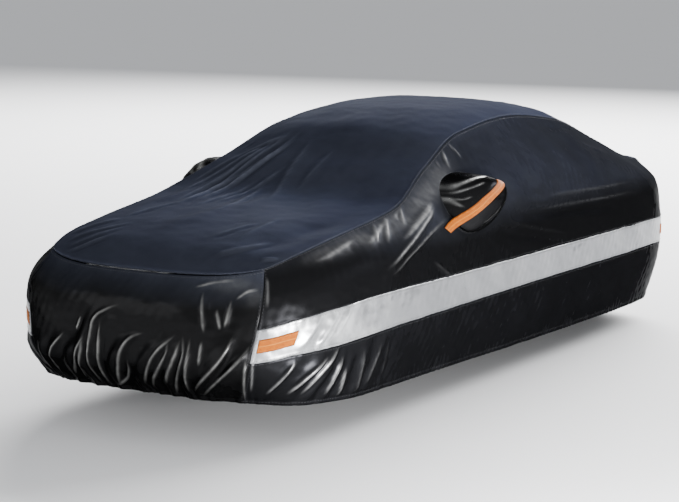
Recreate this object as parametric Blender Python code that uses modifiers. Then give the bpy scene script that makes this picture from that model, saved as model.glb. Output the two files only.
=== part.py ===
# A fitted cover of coated black cloth, in the draped shape that it has in use.
# Metres throughout. +X is its left side, its nose end points to -Y, z = 0 is the lowest hem.
# s is the way round the belt from the middle of the nose: positive on the left, negative on the right.
from collections import namedtuple

import bmesh
import bpy
import numpy as np

NAME = "car_cover"

# The belt is the cover's widest line, a superellipse in plan, set back a little because the folds
# stand out further at the nose than at the tail.
HALF_WIDTH = 0.925
HALF_LENGTH = 2.375
BELT_BACK = 0.006
BOW_POWER = 3.0
FLANK_POWER = 9.0
LOW_LEVEL = 0.255

CLOTH = 0.002
TAPE = 0.0012
SEAM_GAP = 0.0007
OVERLAY_GAP = 0.0005

# The cover's section at some places along its length: how far each level is drawn in from the belt, and
# its height. The top seam, shoulder, belt, low level and hem follow each other down the wall.
Section = namedtuple("Section", "y seam_in seam_z shoulder_in shoulder_z belt_z low_in hem_in hem_z")
SECTIONS = [
    Section(-2.380, 0.130, 0.660, 0.028, 0.560, 0.355, 0.005, 0.170, 0.070),
    Section(-2.250, 0.130, 0.695, 0.025, 0.570, 0.355, 0.005, 0.140, 0.065),
    Section(-2.050, 0.165, 0.740, 0.025, 0.590, 0.375, 0.005, 0.080, 0.055),
    Section(-1.600, 0.200, 0.805, 0.040, 0.655, 0.435, 0.005, 0.050, 0.040),
    Section(-1.100, 0.200, 0.875, 0.055, 0.735, 0.515, 0.005, 0.050, 0.037),
    Section(-0.600, 0.290, 1.040, 0.045, 0.785, 0.555, 0.005, 0.050, 0.030),
    Section(-0.150, 0.340, 1.185, 0.035, 0.805, 0.575, 0.005, 0.050, 0.022),
    Section(0.400, 0.340, 1.235, 0.035, 0.815, 0.585, 0.005, 0.050, 0.016),
    Section(1.000, 0.330, 1.175, 0.040, 0.815, 0.585, 0.005, 0.050, 0.012),
    Section(1.500, 0.280, 1.010, 0.050, 0.795, 0.575, 0.008, 0.055, 0.008),
    Section(1.900, 0.210, 0.880, 0.050, 0.755, 0.555, 0.010, 0.070, 0.004),
    Section(2.150, 0.150, 0.845, 0.040, 0.730, 0.515, 0.010, 0.105, 0.0008),
    Section(2.380, 0.140, 0.845, 0.040, 0.730, 0.515, 0.010, 0.150, 0.0008),
]

# Height of the top panel along its middle: over hood, windscreen, roof, rear window and boot lid.
Ridge = namedtuple("Ridge", "y z crown_power")
RIDGES = [
    Ridge(-2.22, 0.675, 4.0), Ridge(-1.95, 0.780, 4.0), Ridge(-1.50, 0.850, 3.2),
    Ridge(-1.05, 0.895, 2.4), Ridge(-0.65, 1.055, 2.2), Ridge(-0.28, 1.225, 2.2),
    Ridge(0.10, 1.295, 2.4), Ridge(0.50, 1.310, 2.6), Ridge(1.00, 1.255, 2.8),
    Ridge(1.50, 1.065, 2.4), Ridge(1.80, 0.935, 2.4), Ridge(2.02, 0.880, 2.4), Ridge(2.24, 0.850, 2.4),
]

# The silver band on each flank.
Band = namedtuple("Band", "y bottom_z top_z")
BANDS = [
    Band(-2.380, 0.278, 0.432), Band(-2.250, 0.286, 0.442), Band(-2.100, 0.316, 0.480),
    Band(-1.800, 0.335, 0.513), Band(-1.400, 0.352, 0.526), Band(-0.700, 0.358, 0.522),
    Band(0.500, 0.362, 0.518), Band(1.700, 0.360, 0.515), Band(2.100, 0.335, 0.490),
    Band(2.380, 0.310, 0.462),
]

# Seams at the four corners, as s from the middle of the nose or of the tail.
FRONT_CORNER = 0.76
REAR_CORNER = 0.74

# How far the grid's columns lean forward under the top seam, per metre of height. They follow the run
# of the folds at the nose, and the front corner seams lean with them.
Lean = namedtuple("Lean", "s slope")
LEANS = [
    Lean(-6.00, 0.00), Lean(-2.00, 0.00), Lean(-1.20, -0.45), Lean(-0.76, -0.22),
    Lean(0.20, 0.50), Lean(0.76, 0.22), Lean(1.20, 0.45), Lean(2.00, 0.00), Lean(6.00, 0.00),
]

# Cells of each panel's grid.
TOP_ACROSS = 20
FRONT_PER_TOP = 3
LOWER_ROWS = 4
BAND_SHARES = (0.0, 0.3, 0.5, 0.7, 1.0)
UPPER_ROWS = 8
CURVE_SAMPLES = 81
FOLDED_ZONE = 0.90
FOLDED_CELLS = 22
MIDDLE_CELLS = 23
FRONT_TAG_CELLS = 6
REAR_TAG_CELLS = 3

# Orange tags on the ends of the band, as distances from the corner seams. A front tag is as long as its
# cells, 0.24 m.
TAG_INSET = 0.02
REAR_TAG_LENGTH = 0.28

# Grid lines up the wall, from the hem to the top seam. The front and rear panels have every second.
LINES = LOWER_ROWS + len(BAND_SHARES) + UPPER_ROWS
LINE_PLACE = np.arange(LINES, dtype=float)
BAND_LOW_LINE = LOWER_ROWS
BAND_HIGH_LINE = LOWER_ROWS + len(BAND_SHARES) - 1
EVERY_SECOND = slice(0, LINES, 2)


def smooth_through(xs, ys, x):
    # Monotone cubic through the table's points, so nothing overshoots between two rows.
    xs = np.asarray(xs, float)
    ys = np.asarray(ys, float)
    x = np.clip(np.asarray(x, float), xs[0], xs[-1])
    steps = np.diff(xs)
    slopes = np.diff(ys) / steps
    tangents = np.zeros_like(ys)
    tangents[0] = slopes[0]
    tangents[-1] = slopes[-1]
    near = 2 * steps[1:] + steps[:-1]
    far = steps[1:] + 2 * steps[:-1]
    for index in range(1, len(xs) - 1):
        before = slopes[index - 1]
        after = slopes[index]
        if before * after > 0:
            weights = near[index - 1] + far[index - 1]
            tangents[index] = weights / (near[index - 1] / before + far[index - 1] / after)
    return hermite(xs, ys, tangents, x)


def hermite(xs, ys, tangents, x):
    cell = np.clip(np.searchsorted(xs, x) - 1, 0, len(xs) - 2)
    step = xs[cell + 1] - xs[cell]
    t = (x - xs[cell]) / step
    rise = (1 + 2 * t) * (1 - t) ** 2 * ys[cell] + t * t * (3 - 2 * t) * ys[cell + 1]
    bend = t * (1 - t) ** 2 * tangents[cell] - t * t * (1 - t) * tangents[cell + 1]
    return rise + bend * step


def smooth_step(value):
    value = np.clip(value, 0.0, 1.0)
    return value * value * (3 - 2 * value)


def section(column, y):
    return smooth_through([row.y for row in SECTIONS], [getattr(row, column) for row in SECTIONS], y)


def band_edge(column, y):
    return smooth_through([row.y for row in BANDS], [getattr(row, column) for row in BANDS], y)


def belt_outline(samples=20001):
    # The left half of the belt and the distance along it from the middle of the nose.
    angle = np.linspace(0, np.pi, samples)
    x = HALF_WIDTH * np.abs(np.sin(angle)) ** (2 / BOW_POWER)
    y = BELT_BACK - HALF_LENGTH * np.sign(np.cos(angle)) * np.abs(np.cos(angle)) ** (2 / FLANK_POWER)
    along = np.concatenate([[0], np.cumsum(np.hypot(np.diff(x), np.diff(y)))])
    return x, y, along


BELT_X, BELT_Y, BELT_ALONG = belt_outline()
HALF_ROUND = BELT_ALONG[-1]
TAIL_CORNER = HALF_ROUND - REAR_CORNER


def belt_point(s):
    # s may run on past the middle of the tail, where it comes back along the other side.
    s = (np.asarray(s, float) + HALF_ROUND) % (2 * HALF_ROUND) - HALF_ROUND
    x = np.interp(np.abs(s), BELT_ALONG, BELT_X) * np.sign(s)
    y = np.interp(np.abs(s), BELT_ALONG, BELT_Y)
    return x, y


def belt_outward(s, reach=0.01):
    x_before, y_before = belt_point(np.asarray(s) - reach)
    x_after, y_after = belt_point(np.asarray(s) + reach)
    along_x = x_after - x_before
    along_y = y_after - y_before
    length = np.hypot(along_x, along_y)
    return along_y / length, -along_x / length


def wall_levels(s):
    # Hem, low level, belt, shoulder and top seam of the wall at s, from the bottom up.
    x, y = belt_point(s)
    out_x, out_y = belt_outward(s)
    levels = []
    for drawn_in, height in (
        (section("hem_in", y), section("hem_z", y)),
        (section("low_in", y), np.full_like(y, LOW_LEVEL)),
        (np.zeros_like(y), section("belt_z", y)),
        (section("shoulder_in", y), section("shoulder_z", y)),
        (section("seam_in", y), section("seam_z", y)),
    ):
        levels.append(np.stack([x - out_x * drawn_in, y - out_y * drawn_in, height], -1))
    return np.stack(levels, 1)


def wall_curves(s, samples):
    # The smooth curve up the wall through its levels, for each s: an array (s, sample, xyz).
    levels = wall_levels(s)
    share = np.linspace(0, 1, samples)
    curves = np.empty((len(levels), samples, 3))
    for row, points in enumerate(levels):
        steps = np.linalg.norm(np.diff(points, axis=0), axis=1)
        along = np.concatenate([[0], np.cumsum(steps)])
        slopes = np.diff(points, axis=0) / steps[:, None]
        tangents = np.empty_like(points)
        tangents[0] = slopes[0]
        tangents[-1] = slopes[-1]
        blend = (steps[:-1] / (steps[:-1] + steps[1:]))[:, None]
        tangents[1:-1] = slopes[:-1] * (1 - blend) + slopes[1:] * blend
        for axis in range(3):
            curves[row, :, axis] = hermite(along, points[:, axis], tangents[:, axis], share * along[-1])
    return curves


CURVE_S = np.linspace(-HALF_ROUND, 2 * HALF_ROUND, 1801)
CURVES = wall_curves(CURVE_S, CURVE_SAMPLES)


def smooth_wall(s, z):
    # The wall without its folds, at any s and height.
    place = (s - CURVE_S[0]) / (CURVE_S[1] - CURVE_S[0])
    before = int(np.clip(np.floor(place), 0, len(CURVE_S) - 2))
    share = place - before
    ends = []
    for curve in (CURVES[before], CURVES[before + 1]):
        ends.append([np.interp(z, curve[:, 2], curve[:, axis]) for axis in range(3)])
    return np.array(ends[0]) * (1 - share) + np.array(ends[1]) * share


def seam_line(s):
    return wall_levels(np.atleast_1d(s))[:, -1]


# Folds on the walls. Each runs from its root to its tip, bowed sideways by bow, with a soft round
# section of half-width width, standing out by rise, or sunk where rise is negative.
Fold = namedtuple("Fold", "root_s root_z tip_s tip_z bow width rise")

# They rise from the gathered hem of the front panel, s from the middle of the nose.
FRONT_FOLDS = [
    Fold(-0.64, 0.06, -0.52, 0.34, 0.01, 0.030, 0.014),
    Fold(-0.54, 0.06, -0.36, 0.37, 0.02, 0.032, 0.016),
    Fold(-0.43, 0.06, -0.21, 0.38, 0.03, 0.030, 0.018),
    Fold(-0.29, 0.06, -0.15, 0.52, 0.03, 0.034, 0.024),
    Fold(-0.20, 0.06, -0.13, 0.46, 0.02, 0.026, 0.014),
    Fold(-0.13, 0.06, 0.09, 0.41, 0.04, 0.032, 0.022),
    Fold(0.01, 0.06, 0.28, 0.43, 0.03, 0.030, 0.018),
    Fold(0.11, 0.06, 0.28, 0.40, 0.02, 0.026, 0.014),
    Fold(0.19, 0.06, 0.35, 0.42, 0.02, 0.028, 0.016),
    Fold(0.29, 0.06, 0.40, 0.42, 0.00, 0.028, 0.014),
    Fold(0.33, 0.06, 0.62, 0.46, -0.01, 0.034, 0.024),
    Fold(0.41, 0.06, 0.70, 0.41, -0.02, 0.034, 0.022),
    Fold(0.60, 0.06, 0.66, 0.33, 0.00, 0.026, 0.012),
]

# Creases and hollows on a flank, as on the left side; the right side is its mirror image.
FLANK_FOLDS = [
    Fold(0.70, 0.05, 0.94, 0.34, 0.00, 0.026, 0.012),
    Fold(0.82, 0.05, 1.10, 0.33, 0.01, 0.032, 0.018),
    Fold(0.94, 0.04, 1.19, 0.38, 0.00, 0.028, 0.016),
    Fold(1.07, 0.04, 1.22, 0.34, 0.00, 0.028, 0.014),
    Fold(1.18, 0.04, 1.26, 0.31, 0.00, 0.028, 0.012),
    Fold(1.30, 0.03, 1.38, 0.35, 0.00, 0.034, 0.012),
    Fold(1.38, 0.03, 1.56, 0.36, 0.00, 0.045, 0.012),
    Fold(0.88, 0.31, 1.07, 0.54, 0.00, 0.024, 0.007),
    Fold(0.99, 0.32, 1.19, 0.55, 0.00, 0.024, 0.008),
    Fold(1.10, 0.33, 1.29, 0.56, 0.00, 0.028, 0.007),
    Fold(1.46, 0.59, 2.40, 0.93, 0.00, 0.045, 0.018),
    Fold(1.66, 0.57, 2.40, 0.82, 0.00, 0.075, -0.020),
    Fold(1.48, 0.74, 1.96, 0.89, 0.00, 0.035, 0.010),
    Fold(2.80, 0.750, 4.50, 0.640, 0.00, 0.036, -0.016),
    Fold(2.95, 0.785, 4.70, 0.710, 0.00, 0.036, 0.010),
    Fold(3.20, 0.825, 4.70, 0.765, 0.00, 0.040, 0.007),
    Fold(2.70, 0.750, 3.75, 0.550, 0.00, 0.045, 0.011),
    Fold(2.60, 0.690, 3.75, 0.500, 0.00, 0.040, -0.010),
]

# Folds of the rear panel, s from the middle of the tail.
REAR_FOLDS = [
    Fold(-0.58, 0.00, -0.50, 0.40, 0.01, 0.050, 0.016),
    Fold(-0.31, 0.00, -0.24, 0.46, 0.02, 0.060, 0.018),
    Fold(0.05, 0.00, 0.00, 0.38, -0.01, 0.050, 0.014),
    Fold(0.34, 0.00, 0.24, 0.50, -0.02, 0.060, 0.018),
    Fold(0.60, 0.00, 0.52, 0.36, 0.00, 0.050, 0.014),
]

# Drag lines and a hollow of the top panel, as x and y.
TOP_FOLDS = [
    Fold(-0.62, -1.55, -0.28, -0.20, 0.03, 0.060, 0.012),
    Fold(-0.44, -1.60, -0.12, -0.25, 0.03, 0.060, 0.010),
    Fold(-0.20, -1.95, 0.05, -0.90, 0.00, 0.070, 0.010),
    Fold(0.50, -2.05, 0.62, -1.15, 0.00, 0.090, -0.016),
    Fold(0.40, 0.90, -0.30, 1.60, 0.00, 0.100, 0.010),
]
FOLD_TIP_FADE = 0.45
FOLD_ROOT_FADE = 0.25
SEAM_CALM = 0.10
TOP_EDGE_CALM = 0.12
TOP_END_CALM = 0.04
POCKET_CALM = (1.15, 1.70)

# Mirror pockets: a pouch on each flank, sewn round an oval hole in the flank. Its rim is an
# ellipse in Y and Z, and its crown leans back and up as it stands out from the flank.
POCKET_Y = -0.486
POCKET_Z = 0.859
POCKET_HALF_LONG = 0.235
POCKET_HALF_HIGH = 0.135
POCKET_TILT = 0.27
POCKET_TIP_X = 0.970
POCKET_BACK = 0.105
POCKET_UP = 0.028
POCKET_FULLNESS = 2.6
POCKET_COLUMNS = 10
POCKET_CLEARANCE = 0.0006
POCKET_SUNK = 0.0025

# Creases of a pocket, in shares of its rim's half length and half height.
POCKET_FOLDS = [
    Fold(-0.95, 0.45, 0.55, 0.75, -0.05, 0.09, 0.006),
    Fold(-0.95, 0.10, 0.45, 0.35, -0.05, 0.09, 0.005),
]

# The orange strip runs over the pocket's front at this angle, along one of its rows of cells. The rows
# are placed by their share of the way across the strip, from the pocket's low back rim to its high front.
STRIP_ANGLE = 0.40
STRIP_LOW_SIDE = 0.22
STRIP_HIGH_SIDE = 0.54
STRIP_LIFT = 0.0006
POCKET_ROWS = (
    -1.0, -0.93, -0.76, -0.53, -0.28, -0.03, STRIP_LOW_SIDE, STRIP_HIGH_SIDE, 0.72, 0.86, 0.96, 1.0,
)

# Length of the oval bars that cut the pocket holes, centred on the belt's widest line.
CUTTER_DEPTH = 1.0


def fold_relief(a, b, folds, closed_root):
    # Sum of the folds at the places (a, b), which are s and z on a wall, x and y on the top panel.
    relief = np.zeros_like(a)
    for fold in folds:
        run_a = fold.tip_s - fold.root_s
        run_b = fold.tip_z - fold.root_z
        length = np.hypot(run_a, run_b)
        along = ((a - fold.root_s) * run_a + (b - fold.root_z) * run_b) / length ** 2
        aside = ((b - fold.root_z) * run_a - (a - fold.root_s) * run_b) / length
        aside = aside - fold.bow * 4 * along * (1 - along)
        strength = smooth_step((1 - along) / FOLD_TIP_FADE)
        if closed_root:
            strength = strength * smooth_step(along / FOLD_ROOT_FADE)
        relief = relief + fold.rise * strength * np.exp(-(aside / fold.width) ** 2)
    return relief


def wall_relief(s, z, seam_z):
    relief = fold_relief(s, z, FRONT_FOLDS, closed_root=False)
    relief = relief + fold_relief(s - HALF_ROUND, z, REAR_FOLDS, closed_root=False)
    relief = relief + fold_relief(np.abs(s), z, FLANK_FOLDS, closed_root=True)
    pocket_s = np.interp(POCKET_Y, BELT_Y, BELT_ALONG)
    from_pocket = np.hypot((np.abs(s) - pocket_s) / POCKET_HALF_LONG, (z - POCKET_Z) / POCKET_HALF_HIGH)
    calm = smooth_step((from_pocket - POCKET_CALM[0]) / (POCKET_CALM[1] - POCKET_CALM[0]))
    return relief * calm * smooth_step((seam_z - z) / SEAM_CALM)


def line_heights(s):
    # Height of each grid line at s, from the hem through the band's edges to the top seam.
    y = belt_point(s)[1]
    hem = section("hem_z", y)
    band_low = band_edge("bottom_z", y)
    band_high = band_edge("top_z", y)
    seam = section("seam_z", y)
    heights = [hem + (band_low - hem) * row / LOWER_ROWS for row in range(LOWER_ROWS)]
    heights += [band_low + (band_high - band_low) * share for share in BAND_SHARES]
    heights += [band_high + (seam - band_high) * row / UPPER_ROWS for row in range(1, UPPER_ROWS + 1)]
    return np.stack(heights, 1)


def column_lean(s):
    return smooth_through([row.s for row in LEANS], [row.slope for row in LEANS], s)


def wall_points(s, corners=()):
    # The wall's surface on all grid lines, for columns that meet the top seam at s. At a corner seam
    # the lines that the front and rear panels leave out lie on the chords between those they have.
    s = np.asarray(s, float)
    heights = line_heights(s)
    leaning_s = s[:, None] - column_lean(s)[:, None] * (heights[:, -1:] - heights)
    leaning_heights = np.empty_like(heights)
    for line in range(LINES):
        leaning_heights[:, line] = line_heights(leaning_s[:, line])[:, line]
    leaning_heights[:, -1] = heights[:, -1]
    relief = wall_relief(leaning_s, leaning_heights, heights[:, -1:])
    points = np.empty(heights.shape + (3,))
    for place in np.ndindex(*heights.shape):
        points[place] = smooth_wall(leaning_s[place], leaning_heights[place])
    out_x, out_y = belt_outward(leaning_s)
    points[..., 0] += out_x * relief
    points[..., 1] += out_y * relief
    for row in corners:
        for axis in range(3):
            kept = points[row, EVERY_SECOND, axis].copy()
            points[row, :, axis] = np.interp(LINE_PLACE, LINE_PLACE[EVERY_SECOND], kept)
    return points


def flank_stations():
    # Distances from the front corner seam to each grid column of a flank, closest over the folds
    # behind the front corner and at the ends of the tags.
    length = TAIL_CORNER - FRONT_CORNER
    front_zone = np.linspace(TAG_INSET, FOLDED_ZONE, FOLDED_CELLS + 1)
    middle = np.linspace(FOLDED_ZONE, length - TAG_INSET - REAR_TAG_LENGTH, MIDDLE_CELLS + 1)[1:]
    rear_zone = np.linspace(length - TAG_INSET - REAR_TAG_LENGTH, length - TAG_INSET, REAR_TAG_CELLS + 1)[1:]
    return np.concatenate([[0.0], front_zone, middle, rear_zone, [length]])


STATIONS = FRONT_CORNER + flank_stations()


def top_points():
    # The top panel between its four seams, lifted in the middle to the ridge line.
    along = (STATIONS - FRONT_CORNER) / (TAIL_CORNER - FRONT_CORNER)
    across = np.linspace(-1, 1, TOP_ACROSS + 1)
    left = seam_line(STATIONS)
    right = left * [-1, 1, 1]
    front = seam_line(FRONT_CORNER * across)
    rear = seam_line(HALF_ROUND - REAR_CORNER * across)
    q = along[None, :, None]
    t = ((across + 1) / 2)[:, None, None]
    between_ends = (1 - q) * front[:, None] + q * rear[:, None]
    between_sides = (1 - t) * right[None] + t * left[None]
    corners = (1 - q) * ((1 - t) * right[0] + t * left[0]) + q * ((1 - t) * right[-1] + t * left[-1])
    points = between_ends + between_sides - corners
    middle = points[TOP_ACROSS // 2]
    ridge_y = [row.y for row in RIDGES]
    ridge = smooth_through(ridge_y, [row.z for row in RIDGES], middle[:, 1])
    power = smooth_through(ridge_y, [row.crown_power for row in RIDGES], middle[:, 1])
    crown = 1 - np.abs(across)[:, None] ** power[None, :]
    points[..., 2] += crown * (ridge - middle[:, 2])[None, :]
    end_calm = smooth_step(along / TOP_END_CALM) * smooth_step((1 - along) / TOP_END_CALM)
    calm = smooth_step((1 - np.abs(across)) / TOP_EDGE_CALM)[:, None] * end_calm[None, :]
    points[..., 2] += calm * fold_relief(points[..., 0], points[..., 1], TOP_FOLDS, closed_root=True)
    return points


def pocket_rim(angle):
    along = POCKET_HALF_LONG * np.cos(angle)
    up = POCKET_HALF_HIGH * np.sin(angle)
    y = POCKET_Y + along * np.cos(POCKET_TILT) - up * np.sin(POCKET_TILT)
    z = POCKET_Z + along * np.sin(POCKET_TILT) + up * np.cos(POCKET_TILT)
    return y, z


def pocket_place(along, aside):
    # A place of the pocket from its shares along and across the strip, each from -1 to 1.
    p = along * np.cos(STRIP_ANGLE) - aside * np.sin(STRIP_ANGLE)
    q = along * np.sin(STRIP_ANGLE) + aside * np.cos(STRIP_ANGLE)
    out = min(np.hypot(p, q), 1.0)
    stand = (1 - out ** POCKET_FULLNESS) ** (1 / POCKET_FULLNESS)
    rim_y, rim_z = pocket_rim(np.arctan2(q, p))
    flank_s = np.interp(rim_y, BELT_Y, BELT_ALONG)
    flank_x = smooth_wall(flank_s, rim_z)[0] - POCKET_SUNK
    relief = fold_relief(np.array([p]), np.array([q]), POCKET_FOLDS, closed_root=True)[0]
    x = flank_x + (POCKET_TIP_X - flank_x + relief) * stand
    inside = out * (1 - POCKET_CLEARANCE / POCKET_HALF_HIGH)
    y = POCKET_Y + (rim_y - POCKET_Y) * inside + POCKET_BACK * stand ** 3
    z = POCKET_Z + (rim_z - POCKET_Z) * inside + POCKET_UP * stand ** 3
    return np.array([x, y, z])


def pocket_cell(column, row):
    # Columns run over the crown from rim to rim, rows across the strip from pole to pole.
    turn = np.cos(np.pi * (1 - column / POCKET_COLUMNS))
    turn = np.sign(turn) * np.abs(turn) ** (2 / POCKET_FULLNESS)
    aside = POCKET_ROWS[row]
    return turn * np.sqrt(1 - aside ** 2), aside


def rim_angles():
    angles = []
    for aside in POCKET_ROWS:
        half = np.sqrt(1 - aside ** 2)
        for along in ({half, -half} if half > 0 else {0.0}):
            angles.append((np.arctan2(aside, along) + STRIP_ANGLE) % (2 * np.pi))
    return sorted(angles)


def pulled_in(points):
    # Draws each edge of a panel back by half the seam gap, along its own surface.
    points = points.copy()
    for edge, inner in ((0, 1), (-1, -2)):
        along = points[inner] - points[edge]
        points[edge] += along * (SEAM_GAP / 2) / np.linalg.norm(along, axis=-1, keepdims=True)
    for edge, inner in ((0, 1), (-1, -2)):
        along = points[:, inner] - points[:, edge]
        points[:, edge] += along * (SEAM_GAP / 2) / np.linalg.norm(along, axis=-1, keepdims=True)
    return points


def lifted(points, lift):
    along = np.gradient(points, axis=0)
    up = np.gradient(points, axis=1)
    normals = np.cross(along, up)
    return points + normals * lift / np.linalg.norm(normals, axis=-1, keepdims=True)


def fabric(name, colour, roughness, metallic=0.0):
    material = bpy.data.materials.new(name)
    material.use_nodes = True
    principled = material.node_tree.nodes["Principled BSDF"]
    principled.inputs["Base Color"].default_value = (*colour, 1.0)
    principled.inputs["Roughness"].default_value = roughness
    principled.inputs["Metallic"].default_value = metallic
    material.diffuse_color = (*colour, 1.0)
    return material


def add_object(name, mesh, collection, material):
    mesh.materials.append(material)
    mesh.polygons.foreach_set("use_smooth", [True] * len(mesh.polygons))
    created = bpy.data.objects.new(name, mesh)
    collection.objects.link(created)
    return created


def add_thickness(sheet, thickness, offset):
    solidify = sheet.modifiers.new("thickness", "SOLIDIFY")
    solidify.thickness = thickness
    solidify.offset = offset


def cloth(name, points, collection, material, thickness=CLOTH, side=1):
    # A grid whose columns and rows go to the given places, with its thickness added outwards. The
    # places are those of the left side; a side of -1 mirrors them.
    columns, rows = points.shape[0] - 1, points.shape[1] - 1
    grid = bmesh.new()
    bmesh.ops.create_grid(grid, x_segments=columns, y_segments=rows, size=0.5)
    for vertex in grid.verts:
        column = round((vertex.co.x + 0.5) * columns)
        row = round((vertex.co.y + 0.5) * rows)
        x, y, z = points[column, row]
        vertex.co = (x * side, y, z)
    if side < 0:
        bmesh.ops.reverse_faces(grid, faces=grid.faces)
    mesh = bpy.data.meshes.new(name)
    grid.to_mesh(mesh)
    grid.free()
    sheet = add_object(name, mesh, collection, material)
    add_thickness(sheet, thickness, 1.0)
    return sheet


def pocket(name, side, collection, material):
    # Half of a sphere whose poles lie in the rim, each of its points drawn to the pocket's own place.
    rings = len(POCKET_ROWS) - 1
    dome = bmesh.new()
    bmesh.ops.create_uvsphere(dome, u_segments=2 * POCKET_COLUMNS, v_segments=rings, radius=1.0)
    behind = [vertex for vertex in dome.verts if vertex.co.x < -0.001]
    bmesh.ops.delete(dome, geom=behind, context="VERTS")
    for vertex in dome.verts:
        latitude = np.arcsin(np.clip(vertex.co.z, -1, 1))
        row = round((latitude / np.pi + 0.5) * rings)
        longitude = np.arctan2(vertex.co.y, max(vertex.co.x, 0.0))
        column = round((longitude / np.pi + 0.5) * POCKET_COLUMNS) if 0 < row < rings else 0
        x, y, z = pocket_place(*pocket_cell(column, row))
        vertex.co = (x * side, y, z)
    if side < 0:
        bmesh.ops.reverse_faces(dome, faces=dome.faces)
    mesh = bpy.data.meshes.new(name)
    dome.to_mesh(mesh)
    dome.free()
    pouch = add_object(name, mesh, collection, material)
    add_thickness(pouch, CLOTH, -1.0)


def pocket_strip_points():
    rows = (POCKET_ROWS.index(STRIP_LOW_SIDE), POCKET_ROWS.index(STRIP_HIGH_SIDE))
    points = []
    for column in range(1, POCKET_COLUMNS):
        points.append([pocket_place(*pocket_cell(column, row)) for row in rows])
    points = lifted(np.array(points), STRIP_LIFT)
    # Turned so that its cells are split along the same diagonals as the pocket's under them.
    return points[::-1].transpose(1, 0, 2)


def hole_cutter(side, helpers):
    # An oval bar through the flank, with the same corners as the pocket's rim.
    angles = rim_angles()
    bar = bmesh.new()
    bmesh.ops.create_cone(
        bar, cap_ends=True, segments=len(angles), radius1=1.0, radius2=1.0, depth=CUTTER_DEPTH
    )
    turns = [round(np.arctan2(vertex.co.y, vertex.co.x) % (2 * np.pi), 3) for vertex in bar.verts]
    order = sorted(set(turns))
    for vertex, turn in zip(bar.verts, turns):
        y, z = pocket_rim(angles[order.index(turn)])
        vertex.co = (side * (HALF_WIDTH + vertex.co.z), y, z)
    if bar.calc_volume(signed=True) < 0:
        bmesh.ops.reverse_faces(bar, faces=bar.faces)
    mesh = bpy.data.meshes.new("pocket_hole_cutter")
    bar.to_mesh(mesh)
    bar.free()
    cutter = bpy.data.objects.new("pocket_hole_cutter", mesh)
    helpers.objects.link(cutter)
    cutter.hide_render = True
    cutter.display_type = "WIRE"
    return cutter


def build():
    for leftover in list(bpy.data.objects):
        bpy.data.objects.remove(leftover, do_unlink=True)
    cover = bpy.data.collections.new(NAME)
    helpers = bpy.data.collections.new(NAME + "_cutters")
    for collection in (cover, helpers):
        bpy.context.scene.collection.children.link(collection)

    top_cloth = fabric("top_cloth", (0.018, 0.020, 0.032), 0.42)
    wall_cloth = fabric("wall_cloth", (0.011, 0.011, 0.013), 0.34)
    silver_band = fabric("silver_band", (0.52, 0.54, 0.57), 0.38)
    pocket_cloth = fabric("pocket_cloth", (0.010, 0.010, 0.014), 0.30)
    orange_tape = fabric("orange_tape", (0.80, 0.25, 0.045), 0.45)

    cloth("top_panel", pulled_in(top_points()), cover, top_cloth)

    front = wall_points(np.linspace(-FRONT_CORNER, FRONT_CORNER, TOP_ACROSS * FRONT_PER_TOP + 1), (0, -1))
    kept = np.arange(0, len(front), FRONT_PER_TOP)
    for axis in range(3):
        front[:, -1, axis] = np.interp(np.arange(len(front)), kept, front[kept, -1, axis])
    cloth("front_panel", pulled_in(front[:, EVERY_SECOND]), cover, wall_cloth)

    rear = wall_points(np.linspace(TAIL_CORNER, 2 * HALF_ROUND - TAIL_CORNER, TOP_ACROSS + 1), (0, -1))
    cloth("rear_panel", pulled_in(rear[:, EVERY_SECOND]), cover, wall_cloth)

    flank = wall_points(STATIONS, (0, -1))
    tag_surface = lifted(flank, CLOTH + OVERLAY_GAP)[:, BAND_LOW_LINE + 1:BAND_HIGH_LINE]
    last = len(STATIONS) - 1
    tag_columns = {
        "front": slice(1, FRONT_TAG_CELLS + 2),
        "rear": slice(last - 1 - REAR_TAG_CELLS, last),
    }
    for side_name, side in (("left", 1), ("right", -1)):
        lower = flank[:, :BAND_LOW_LINE + 1]
        band = flank[:, BAND_LOW_LINE:BAND_HIGH_LINE + 1]
        upper = flank[:, BAND_HIGH_LINE:]
        cloth("side_lower_" + side_name, pulled_in(lower), cover, wall_cloth, side=side)
        cloth("side_band_" + side_name, pulled_in(band), cover, silver_band, side=side)
        upper_panel = cloth("side_upper_" + side_name, pulled_in(upper), cover, wall_cloth, side=side)
        hole = upper_panel.modifiers.new("pocket_hole", "BOOLEAN")
        hole.operation = "DIFFERENCE"
        hole.solver = "EXACT"
        hole.object = hole_cutter(side, helpers)
        pocket("mirror_pocket_" + side_name, side, cover, pocket_cloth)
        cloth("pocket_strip_" + side_name, pocket_strip_points(), cover, orange_tape, TAPE, side)
        for place_name, columns in tag_columns.items():
            tag_name = "band_tag_" + place_name + "_" + side_name
            cloth(tag_name, tag_surface[columns], cover, orange_tape, TAPE, side)


if __name__ == "__main__":
    build()
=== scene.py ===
import math

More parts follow.
